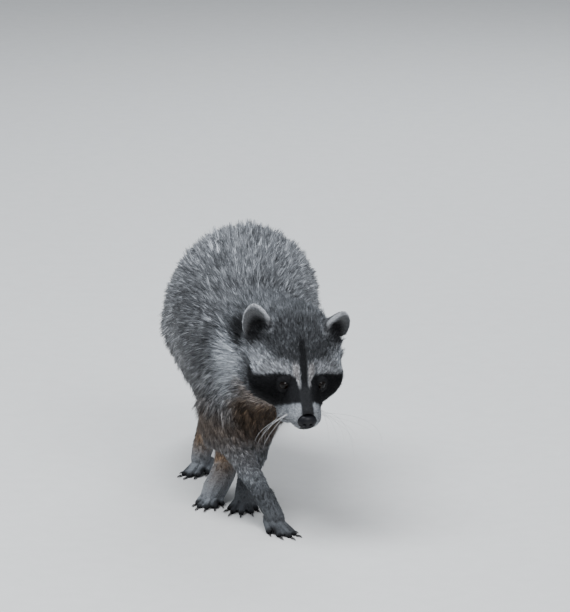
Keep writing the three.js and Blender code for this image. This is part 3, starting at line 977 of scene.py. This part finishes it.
def unwrapped(at, triangles):
    """An unwrap of a part of a surface: the map's place of every corner of those triangles."""
    used, faces = np.unique(triangles, return_inverse=True)
    patch = object_of("patch", mesh_of("patch", at[used], faces.reshape(-1, 3)))
    only(patch)
    edit_all(bpy.ops.uv.smart_project, angle_limit=math.radians(66), island_margin=0.004)
    uv = np.empty(2 * len(patch.data.loops), np.float32)
    patch.data.uv_layers.active.data.foreach_get("uv", uv)
    mesh = patch.data
    bpy.data.objects.remove(patch)
    bpy.data.meshes.remove(mesh)
    return uv.reshape(-1, 3, 2)


class Roots:
    """Where the tufts of one piece of coat grow, with what the pelt says at each root."""

    def __init__(self, pelt, count, weight, rng):
        corners = pelt.corners
        w = weight[corners].mean(1)
        kept = np.flatnonzero(w > 0.02)
        corners, w = corners[kept], w[kept]
        a, b, c = (pelt.at[corners[:, i]] for i in range(3))
        area = np.linalg.norm(np.cross(b - a, c - a), axis=1) / 2
        sums = np.cumsum(area * w)
        marks = (np.arange(count) + rng.random(count)) / count * sums[-1]
        face = np.minimum(np.searchsorted(sums, marks), len(corners) - 1)
        r, t = np.sqrt(rng.random(count)), rng.random(count)
        self.bary = np.stack([1 - r, r * (1 - t), r * t], 1)
        self.corners = corners[face]
        self.uv = (unwrapped(pelt.at, corners)[face] * self.bary[:, :, None]).sum(1)
        self.at = self.read(pelt.at)
        self.normals = unit(self.read(pelt.normals))
        self.lay = unit(flat_to(self.read(pelt.lay), self.normals))
        self.depth = self.read(pelt.depth)
        self.length = self.read(pelt.length)
        self.tone = self.read(pelt.tone)
        self.warm = self.read(pelt.warm)
        self.mottle = self.read(pelt.mottle)

    def read(self, values):
        if values.ndim == 1:
            return (values[self.corners] * self.bary).sum(1)
        return (values[self.corners] * self.bary[:, :, None]).sum(1)


def clump_leaders(points, per_clump, rng):
    """For each root, the root that leads its clump."""
    leaders = np.sort(rng.permutation(len(points))[: max(1, len(points) // per_clump)])
    tree = KDTree(len(leaders))
    for i, j in enumerate(leaders):
        tree.insert(points[j], i)
    tree.balance()
    return leaders[np.array([tree.find(p)[1] for p in points.tolist()])]


ROOT_DEPTH = 0.4 * MM  # of a tuft's foot under the skin
LEAST_HEIGHT = 0.6 * MM  # of a tuft over the ground
PATCH = 0.003  # how large a tuft is on the map
RING_CORNERS = ((1.0, -0.3), (-1.0, -0.3), (0.0, 0.7))  # out to the side, and away from the skin


def tuft_mesh(name, spine, across, width, shades, uv):
    """Closed tufts with three sides, one for each row of spine.

    spine is (count, 3, 3) for lances, from the root past a ring of corners to the tip, and (count, 2, 3) for
    short pyramids, whose ring is at the root. across points to a tuft's side, and shades holds a colour for
    each point of a spine.
    """
    count, rows = spine.shape[:2]
    ring = rows - 2
    way = spine[:, -1] - spine[:, 0]
    flat = unit(np.cross(way, across))
    side = unit(np.cross(flat, way))
    points = np.empty((count, rows + 2, 3))
    colours = np.empty_like(points)
    patch = np.empty((rows + 2, 2))
    for i, (out, up) in enumerate(RING_CORNERS):
        points[:, i] = spine[:, ring] + width[:, None] / 2 * (side * out + flat * up)
        colours[:, i] = shades[:, ring]
        patch[i] = (0.5 + 0.5 * out, 0.45 * ring + 0.2 * (up > 0))
    points[:, 3], colours[:, 3], patch[3] = spine[:, -1], shades[:, -1], (0.5, 1)
    faces = [(i, (i + 1) % 3, 3) for i in range(3)]
    if ring:
        points[:, 4], colours[:, 4], patch[4] = spine[:, 0], shades[:, 0], (0.5, 0)
        faces += [((i + 1) % 3, i, 4) for i in range(3)]
    else:
        faces += [(0, 2, 1)]
    faces = np.array(faces)
    every = (np.arange(count)[:, None, None] * (rows + 2) + faces).reshape(-1, 3)
    mesh = mesh_of(name, points.reshape(-1, 3), every)
    paint(mesh, colours.reshape(-1, 3))
    layer = mesh.uv_layers.new(name="OFBake")
    place = uv[:, None, None] + (patch[faces] - 0.5) * PATCH
    layer.data.foreach_set("uv", place.astype(np.float32).ravel())
    return mesh


def grow(
    name, pelt, count, weight, settings, seed, slot, short=False, under=0.0, width=1.0, lock=7, pull=0.6
):
    """One piece of the coat: tufts at random roots, gathered by locks of a few into points.

    weight says how thickly they grow at each vertex, under is the share that is wool, width is a share of the
    trunk's tufts', lock is how many lean together, and pull how far.
    """
    rng = np.random.default_rng(settings.coat.seed + seed)
    roots = Roots(pelt, count, weight, rng)
    leader = clump_leaders(roots.at, lock, rng)

    def each(spread, lock_spread):
        """Random numbers round 0, partly the same all over a lock."""
        return spread * rng.normal(size=count) + lock_spread * rng.normal(size=count)[leader]

    woolly = rng.random(count) < under
    length = roots.length * np.clip(1 + each(0.10, 0.09), 0.6, 1.4)
    length = np.where(woolly, length * settings.coat.wool_share, length)
    rise = np.clip(roots.depth / np.maximum(length, 1e-4), 0.05, 0.7)
    rise = rise * np.clip(0.95 + each(0.10, 0.14), 0.5, 1.35)
    swing = each(0.10, 0.15)
    across = np.cross(roots.normals, roots.lay)
    lay = roots.lay * np.cos(swing)[:, None] + across * np.sin(swing)[:, None]
    first = np.clip(1.4 * rise, 0.05, 0.92)[:, None]
    second = np.clip(0.6 * rise, 0.02, 0.7)[:, None]
    start = roots.at - roots.normals * ROOT_DEPTH
    halfway = start + (lay * np.sqrt(1 - first**2) + roots.normals * first) * length[:, None] / 2
    tip = halfway + (lay * np.sqrt(1 - second**2) + roots.normals * second) * length[:, None] / 2
    hold = (pull * rng.uniform(0.5, 1.2, count))[:, None]
    for points, share in ((halfway, 0.35), (tip, 1.0)):
        shift = (points[leader] - points) * hold * share
        far = np.linalg.norm(shift, axis=1, keepdims=True)
        points += shift * np.minimum(1, 0.3 * length[:, None] / np.maximum(far, 1e-6))
    spine = np.stack([start, tip] if short else [start, halfway, tip], 1)
    spine[:, :, 2] = np.maximum(spine[:, :, 2], LEAST_HEIGHT)
    m = np.clip(roots.mottle, 0, 1)
    band = roots.tone * np.clip(np.exp(m * each(0.36, 0.40)), 0.25, 2.6) * (1 + 0.12 * m)
    band = np.where(woolly, 0.7 * band, band)
    dark_tip = (rng.random(count)[leader] < 0.45 * m) | (rng.random(count) < 0.2 * m)
    end = np.where(dark_tip, roots.tone * (1 - 0.8 * m), band * 1.1)
    # a tuft is darkest at its root: partly the hair's own dark base, partly painted shade deep in the coat
    base = roots.tone * (1 - 0.65 * m)
    tones = [(base, roots.warm + 0.3 * m), (band, roots.warm), (end, roots.warm)]
    shades = [colour_of(np.clip(t, 0, 1), w, settings.colours) for t, w in tones]
    if short:
        shades = [shades[0] * 0.5 + shades[1] * 0.5, shades[2]]
    thick = settings.coat.tuft_width * width * rng.uniform(0.7, 1.3, count)
    mesh = tuft_mesh(name, spine, unit(np.cross(roots.normals, lay)), thick, np.stack(shades, 1), roots.uv)
    mesh.materials.append(coat_material())
    piece = object_of(name, mesh)
    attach(piece, "root")
    return piece


class MakeCoat(bpy.types.Operator):
    """Covers the skin with tufts that follow the lie of the coat, in one piece for each part of the body"""

    bl_idname = "raccoon.coat"
    bl_label = "Coat"

    def execute(self, context):
        if not pelts:
            raise RuntimeError("the coat needs the skin, so run raccoon.skin first")
        settings = context.scene.raccoon
        body = pelts["body"]
        main = np.argmax(body.share, 1)
        region = {name: (main == i).astype(float) for i, name in enumerate(REGIONS)}
        y = body.at[:, 1]
        f = head_places(body.at)[1]
        thirds = np.quantile(y[main == 0], [0.36, 0.68])
        front = region["trunk"] * (y < thirds[0])
        rear = region["trunk"] * (y > thirds[1])
        between = region["trunk"] - front - rear
        open_eye = step(8.0 * MM, 9.0 * MM, gap_to(body.at, EYES))
        nose = np.linalg.norm(body.at - np.array(in_head(*NOSE_AT)), axis=1)
        bare_nose = step(9 * MM, 10 * MM, nose)
        close = step(-22, -12, f) * region["head"] + region["muzzle"]
        face = close * (0.6 + 0.7 * step(0, 25, f)) * open_eye * bare_nose
        skull = region["head"] * (1 - step(-22, -12, f))
        limbs = region["leg"] + region["foot"]
        shaggy = np.clip(2 * body.net.smooth(1 - region["foot"], 60) - 0.5, 0, 1)
        share = 1.0
        fine = dict(short=True, width=0.5, lock=5, pull=0.3)
        rows = (
            ("coat_shoulders", 32000, front, "grey_coat", dict(under=0.3)),
            ("coat_flanks", 32000, between, "grey_coat", dict(under=0.3)),
            ("coat_rump", 32000, rear, "grey_coat", dict(under=0.3)),
            ("coat_neck", 27000, region["neck"], "grey_coat", dict(under=0.3, width=0.9)),
            ("coat_head", 31000, skull, "dark_coat", dict(under=0.15, width=0.62)),
            ("coat_face", 46000, face, "pale_coat", fine),
            ("coat_ears", 12000, region["ear"], "dark_coat", fine),
            ("coat_legs", 22000, limbs * shaggy, "grey_coat", dict(under=0.2, width=0.6)),
            ("coat_feet", 20000, limbs * (1 - shaggy), "feet", fine),
            ("coat_tail", 20000, region["tail"], "grey_coat", dict(under=0.3)),
        )
        for i, (name, count, weight, slot, more) in enumerate(rows):
            grow(name, pelts["skin"], int(count * share), weight, settings, 10 * i, slot, **more)
        for i, side in enumerate(("left", "right")):
            pelt, grown = pelts["lid_" + side]
            grow("coat_lid_" + side, pelt, int(1600 * share), grown, settings, 200 + i, "dark_coat", **fine)
        return {"FINISHED"}


# ---- Eyes ----

CORNEA_RISE = 0.55 * MM
CORNEA_HALF = 0.62  # radians from its middle to its edge


def eye_material(side, sizes):
    """Dark brown round a black pupil, faintly mottled, under a clear gloss."""
    gloss = {"Roughness": 0.12, "IOR": 1.4, "Specular IOR Level": 0.05}
    clear = {"Coat Weight": 0.3, "Coat Roughness": 0.02}
    material, shader = new_material("eye_" + side, gloss | clear)
    tree = shader.id_data
    centre, _, out, up = eye_frame(side)
    turn = Matrix((out, up, out.cross(up))).transposed().to_euler("XYZ")
    place = add_node(tree, "ShaderNodeTexCoord").outputs["Object"]
    frame_of_eye = {"Vector": place, "Location": centre, "Rotation": turn}
    turned = add_node(tree, "ShaderNodeMapping", frame_of_eye, vector_type="TEXTURE").outputs["Vector"]
    parts = add_node(tree, "ShaderNodeSeparateXYZ", {"Vector": turned}).outputs
    flat = add_node(tree, "ShaderNodeCombineXYZ", {"X": parts["X"], "Y": parts["Y"]}).outputs["Vector"]
    reach = add_node(tree, "ShaderNodeVectorMath", {"Vector": flat}, operation="LENGTH").outputs["Value"]
    ring = add_node(tree, "ShaderNodeMapRange", {"Value": reach, "From Max": EYE_RADIUS}).outputs["Result"]
    ramp = add_node(tree, "ShaderNodeValToRGB", {"Fac": ring})
    pupil = sizes.pupil / EYE_RADIUS
    stops = [
        (0.0, (0.001, 0.001, 0.001)),
        (pupil, (0.001, 0.001, 0.001)),
        (pupil + 0.05, (0.005, 0.003, 0.002)),
        (0.60, (0.004, 0.002, 0.001)),
        (0.72, (0.002, 0.002, 0.002)),
        (0.85, (0.006, 0.005, 0.005)),
    ]
    while len(ramp.color_ramp.elements) < len(stops):
        ramp.color_ramp.elements.new(0.5)
    for stop, (where, colour) in zip(ramp.color_ramp.elements, stops):
        stop.position = where
        stop.color = (*colour, 1)
    coloured(shader, 2500, 0.5, 0, colour=ramp.outputs["Color"])
    return material


class MakeEyes(bpy.types.Operator):
    """Two glossy eyeballs with a raised cornea, in the sockets of the skin"""

    bl_idname = "raccoon.eyes"
    bl_label = "Eyes"

    def execute(self, context):
        sizes = context.scene.raccoon.face
        for side in ("left", "right"):
            centre, gaze = eye_frame(side)[:2]
            bpy.ops.object.select_all(action="DESELECT")
            turn = gaze.to_track_quat("Z", "Y").to_euler()
            bpy.ops.mesh.primitive_uv_sphere_add(segments=40, ring_count=28, radius=EYE_RADIUS, rotation=turn)
            eye = bpy.context.active_object
            eye.name = eye.data.name = "eyeball_" + side
            bpy.ops.object.transform_apply(location=True, rotation=True, scale=True)
            ahead = np.array(gaze)
            net = Net(eye.data)
            at = net.points()
            facing = unit(at) @ ahead
            at += ahead * (CORNEA_RISE * step(math.cos(CORNEA_HALF), 1.0, facing))[:, None]
            net.place(at + np.array(centre))
            bpy.ops.object.shade_smooth()
            eye.data.materials.append(eye_material(side, sizes))
            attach(eye, "root")
            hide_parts("eye_" + side)
        return {"FINISHED"}


# ---- Nose ----

NOSE_HALF = (11.4, 8.6, 9.6)  # across, along and up, in millimetres
NOSE_AT = (0, 49.6, -18.6)  # left, forward and up in the head


class MakeNose(bpy.types.Operator):
    """The leather of the nose: a rounded pad with two comma-shaped nostrils and a groove down its middle"""

    bl_idname = "raccoon.nose"
    bl_label = "Nose"

    def execute(self, context):
        bpy.ops.object.select_all(action="DESELECT")
        bpy.ops.mesh.primitive_uv_sphere_add(segments=96, ring_count=64, radius=1)
        nose = bpy.context.active_object
        nose.name = nose.data.name = "nose_leather"
        net = Net(nose.data)
        at = net.points()
        l, f, u = at[:, 0] * NOSE_HALF[0], -at[:, 1] * NOSE_HALF[1], at[:, 2] * NOSE_HALF[2]
        # flat in front and on top, and narrower below
        l = l * (1 - 0.10 * step(0, 8, -u)) * (1 + 0.05 * hump(u, 3, 3))
        f = np.minimum(f, 6.4 + 0.12 * f)
        u = np.minimum(u, 6.6 + 0.2 * u)
        a = np.abs(l)
        front = step(1, 4, f)
        hole = hump(np.hypot((a - 4.0) / 1.15, (u + 0.6) / 1.0), 0, 1.75)
        slit = hump(u + 1.2 + 0.25 * (a - 5), 0, 0.8) * step(3.5, 5, a) * (1 - step(8.4, 9.6, a))
        f = f - 3.6 * hole * front - 1.3 * slit * step(-3, 0, f)
        f = f - 0.9 * hump(l, 0, 0.55) * front * (1 - step(1.5, 3.5, u))
        wing = hump(np.hypot((a - 6.6) / 1.5, (u - 1.2) / 1.3), 0, 1.6)
        f = f + 0.7 * wing * front
        local = np.stack([l + NOSE_AT[0], -(f + NOSE_AT[1]), u + NOSE_AT[2]], 1) * MM
        net.place(local @ np.array(HEAD_TURN).T + np.array(HEAD_ORIGIN))
        face_outwards(nose)
        bpy.ops.object.shade_smooth()
        gloss = {"Roughness": 0.42, "Specular IOR Level": 0.16, "Coat Weight": 0.10, "Coat Roughness": 0.25}
        material, shader = new_material("nose_leather", gloss)
        coloured(shader, 1500, 0.4, 0.35 * MM, colour=(0.006, 0.006, 0.008))
        nose.data.materials.append(material)
        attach(nose, "root")
        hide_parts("nose")
        return {"FINISHED"}


# ---- Claws ----

# Smoothing thins a claw by about this much, so it is fattened first.
CLAW_SPARE = 0.3 * MM


class MakeClaws(bpy.types.Operator):
    """Smooth curved claws, one piece for each foot"""

    bl_idname = "raccoon.claws"
    bl_label = "Claws"

    def execute(self, context):
        material, shader = new_material("claw_horn", {"Roughness": 0.32})
        coloured(shader, 700, 0.5, 0.1 * MM, colour=(0.022, 0.019, 0.018))
        for foot in FEET:
            foot = foot.removeprefix("foot_")
            nodes = [f"claw_{foot}_{i}" for i in range(1, 6)]
            claws = joined_copy("claws_" + foot, nodes)
            edit_all(bpy.ops.transform.shrink_fatten, value=CLAW_SPARE)
            smooth = claws.modifiers.new("smooth", "SUBSURF")
            smooth.levels = smooth.render_levels = 2
            bpy.ops.object.modifier_apply(modifier="smooth")
            bpy.ops.object.shade_smooth()
            claws.data.materials.append(material)
            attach(claws, "root")
            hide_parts(*nodes)
        return {"FINISHED"}


# ---- Whiskers ----


def tube(points, radii, sides=6):
    """Points and triangles of a closed tapering tube along a curve."""
    count = len(points)
    ways = unit(np.gradient(points, axis=0))
    across = unit(np.cross(ways, np.array([0.3, 0.2, 1.0])))
    over = np.cross(ways, across)
    turn = np.linspace(0, 2 * np.pi, sides, endpoint=False)
    ring = across[:, None] * np.cos(turn)[None, :, None] + over[:, None] * np.sin(turn)[None, :, None]
    body = points[:, None] + ring * radii[:, None, None]
    verts = np.concatenate([body.reshape(-1, 3), points[:1], points[-1:]])
    faces = []
    for k in range(count - 1):
        for i in range(sides):
            a, b = k * sides + i, k * sides + (i + 1) % sides
            faces += [(a, b, b + sides), (a, b + sides, a + sides)]
    start, end = count * sides, count * sides + 1
    for i in range(sides):
        j = (i + 1) % sides
        faces += [(start, j, i), (end, (count - 1) * sides + i, (count - 1) * sides + j)]
    return verts, np.array(faces)


def whisker(root, way, out, fall, back, width, rows=14):
    """A hair that runs out along way, bends down by fall and back by back, and tapers."""
    t = np.linspace(0, 1, rows)[:, None]
    points = (
        np.array(root)
        + np.array(way) * out * np.sin(t * np.pi / 2)
        + np.array([0, 0, -1.0]) * fall * t**2.2
        + np.array([0, 1.0, 0]) * back * t
    )
    return tube(points, width / 2 * (1 - 0.8 * t[:, 0]))


# The longest whiskers of each side: millimetres out, degrees down, and millimetres of fall and back.
WHISKER_REACH = {
    1: ((76, 0, 40, 6), (44, 0, 70, 2)),
    -1: ((44, 30, 18, 4), (46, 58, 12, 2)),
}


class MakeWhiskers(bpy.types.Operator):
    """Long stiff whiskers that bow out from the lips and droop"""

    bl_idname = "raccoon.whiskers"
    bl_label = "Whiskers"

    def execute(self, context):
        thick = context.scene.raccoon.face.whisker_width
        rng = np.random.default_rng(31)
        skin = BVHTree.FromPolygons(pelts["skin"].at.tolist(), pelts["skin"].corners.tolist())
        made = []

        def add(inside, aside, way, out, fall, back, width):
            """Adds a whisker whose root lies just under the skin, straight out from a point inside."""
            root = skin.ray_cast(inside, aside)[0] or inside
            made.append(whisker(root - aside * 1.5 * MM, way, out * MM, fall * MM, back * MM, width))

        for s in (1, -1):
            aside = head_way(s, 0, 0)
            for i, (out, droop, fall, back) in enumerate(WHISKER_REACH[s]):
                droop = math.radians(droop)
                way = head_way(s * math.cos(droop), 0, -math.sin(droop))
                add(in_head(s * 6, 33 - 5 * i, -20 - i), aside, way, out, fall, back, thick)
            for i in range(6 if s > 0 else 4):
                droop = math.radians((10 if s > 0 else 26) + 9 * i)
                way = head_way(s * math.cos(droop), 0.12 - 0.08 * i, -math.sin(droop)).normalized()
                inside = in_head(s * 3, 35 - 4.0 * i, -19 - 2.4 * (i % 3))
                out = (62 - 5 * i if s > 0 else 42) * rng.uniform(0.85, 1.1)
                add(inside, aside, way, out, 14 + 3 * i, 5, thick * 0.7)
        counts = np.cumsum([0] + [len(v) for v, _ in made])
        verts = np.concatenate([v for v, _ in made])
        faces = np.concatenate([f + n for (_, f), n in zip(made, counts)])
        piece = object_of("whiskers", mesh_of("whiskers", verts, faces))
        face_outwards(piece)
        material, shader = new_material("whisker_hair", {"Roughness": 0.35})
        coloured(shader, 300, 0.2, 0, colour=(0.5, 0.5, 0.5))
        piece.data.materials.append(material)
        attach(piece, "root")
        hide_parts(*[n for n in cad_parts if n.startswith("whisker")])
        return {"FINISHED"}


# ---- Stage ----

CAMERA_HEIGHT = 12  # degrees above level
VIEW_HEIGHT = 0.7287  # from the bottom of the view to its top, at the aim
AIM = HEAD_ORIGIN + Vector((-18.5, 200, 47.6)) * MM  # the middle of the view
SENSOR = 36


def soft_light(name, place, aim, size, power, colour):
    """A round soft light, turned to its aim."""
    data = bpy.data.lights.new(name, "AREA")
    data.shape = "DISK"
    data.size = size
    data.energy = power
    data.color = colour
    light = bpy.data.objects.new(name, data)
    bpy.context.scene.collection.objects.link(light)
    light.location = place
    light.rotation_mode = "QUATERNION"
    light.rotation_quaternion = (Vector(aim) - Vector(place)).to_track_quat("-Z", "Y")


class MakeStage(bpy.types.Operator):
    """A pale floor, soft lights and the camera"""

    bl_idname = "raccoon.stage"
    bl_label = "Stage"

    def execute(self, context):
        stage = context.scene.raccoon.stage
        bpy.ops.object.select_all(action="DESELECT")
        bpy.ops.mesh.primitive_plane_add(size=60)
        floor = bpy.context.active_object
        floor.name = "floor"
        material, shader = new_material("floor", {"Roughness": 0.85})
        coloured(shader, 40, 0.03, 0, colour=stage.floor)
        floor.data.materials.append(material)
        aim = (0, 0, 0.15)
        soft_light("key", (-0.9, -0.6, 3.0), aim, 2.4, stage.key, (0.90, 0.95, 1.0))
        soft_light("fill", (1.3, -3.0, 2.4), aim, 2.0, stage.fill, (0.95, 0.97, 1.0))
        soft_light("rim", (0.6, 2.8, 2.2), aim, 1.8, 0.7 * stage.fill, (0.85, 0.92, 1.0))
        world = bpy.data.worlds.new("studio")
        context.scene.world = world
        world.use_nodes = True
        feed(world.node_tree.nodes["Background"], {"Color": (0.75, 0.8, 0.88, 1), "Strength": 0.5})
        data = bpy.data.cameras.new("camera")
        data.sensor_width = SENSOR
        data.lens = SENSOR * stage.distance / VIEW_HEIGHT
        data.clip_end = 200
        camera = bpy.data.objects.new("camera", data)
        context.scene.collection.objects.link(camera)
        height = math.radians(CAMERA_HEIGHT)
        back = Vector((0, -math.cos(height), math.sin(height)))
        camera.location = AIM + back * stage.distance
        camera.rotation_mode = "QUATERNION"
        camera.rotation_quaternion = (-back).to_track_quat("-Z", "Y")
        context.scene.camera = camera
        return {"FINISHED"}


# ---- Add-on ----


class RaccoonSettings(bpy.types.PropertyGroup):
    coat: bpy.props.PointerProperty(type=CoatSizes, name="Coat", description="Sizes of the coat")
    colours: bpy.props.PointerProperty(type=CoatColours, name="Colours", description="Colours of the coat")
    face: bpy.props.PointerProperty(type=FaceSizes, name="Face", description="Sizes of the eyes and whiskers")
    stage: bpy.props.PointerProperty(type=StageSettings, name="Stage", description="Floor, lights and camera")


OPERATORS = (MakeStage, MakeSkin, MakeCoat, MakeEyes, MakeNose, MakeClaws, MakeWhiskers)


class RaccoonPanel(bpy.types.Panel):
    """Lists the settings and the steps in the sidebar"""

    bl_idname = "VIEW3D_PT_raccoon"
    bl_label = "Raccoon figure"
    bl_space_type = "VIEW_3D"
    bl_region_type = "UI"
    bl_category = "Raccoon"

    def draw(self, context):
        settings = context.scene.raccoon
        for group in (settings.coat, settings.colours, settings.face, settings.stage):
            box = self.layout.box()
            for name in group.__annotations__:
                box.prop(group, name)
        for operator in OPERATORS:
            self.layout.operator(operator.bl_idname)


CLASSES = (CoatSizes, CoatColours, FaceSizes, StageSettings, RaccoonSettings, *OPERATORS, RaccoonPanel)


def register():
    for cls in CLASSES:
        bpy.utils.register_class(cls)
    bpy.types.Scene.raccoon = bpy.props.PointerProperty(type=RaccoonSettings)


def unregister():
    del bpy.types.Scene.raccoon
    for cls in reversed(CLASSES):
        bpy.utils.unregister_class(cls)


def main():
    register()
    bpy.ops.raccoon.stage()
    bpy.ops.raccoon.skin()
    bpy.ops.raccoon.coat()
    bpy.ops.raccoon.eyes()
    bpy.ops.raccoon.nose()
    bpy.ops.raccoon.claws()
    bpy.ops.raccoon.whiskers()
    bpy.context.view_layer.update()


if __name__ == "__main__":
    main()
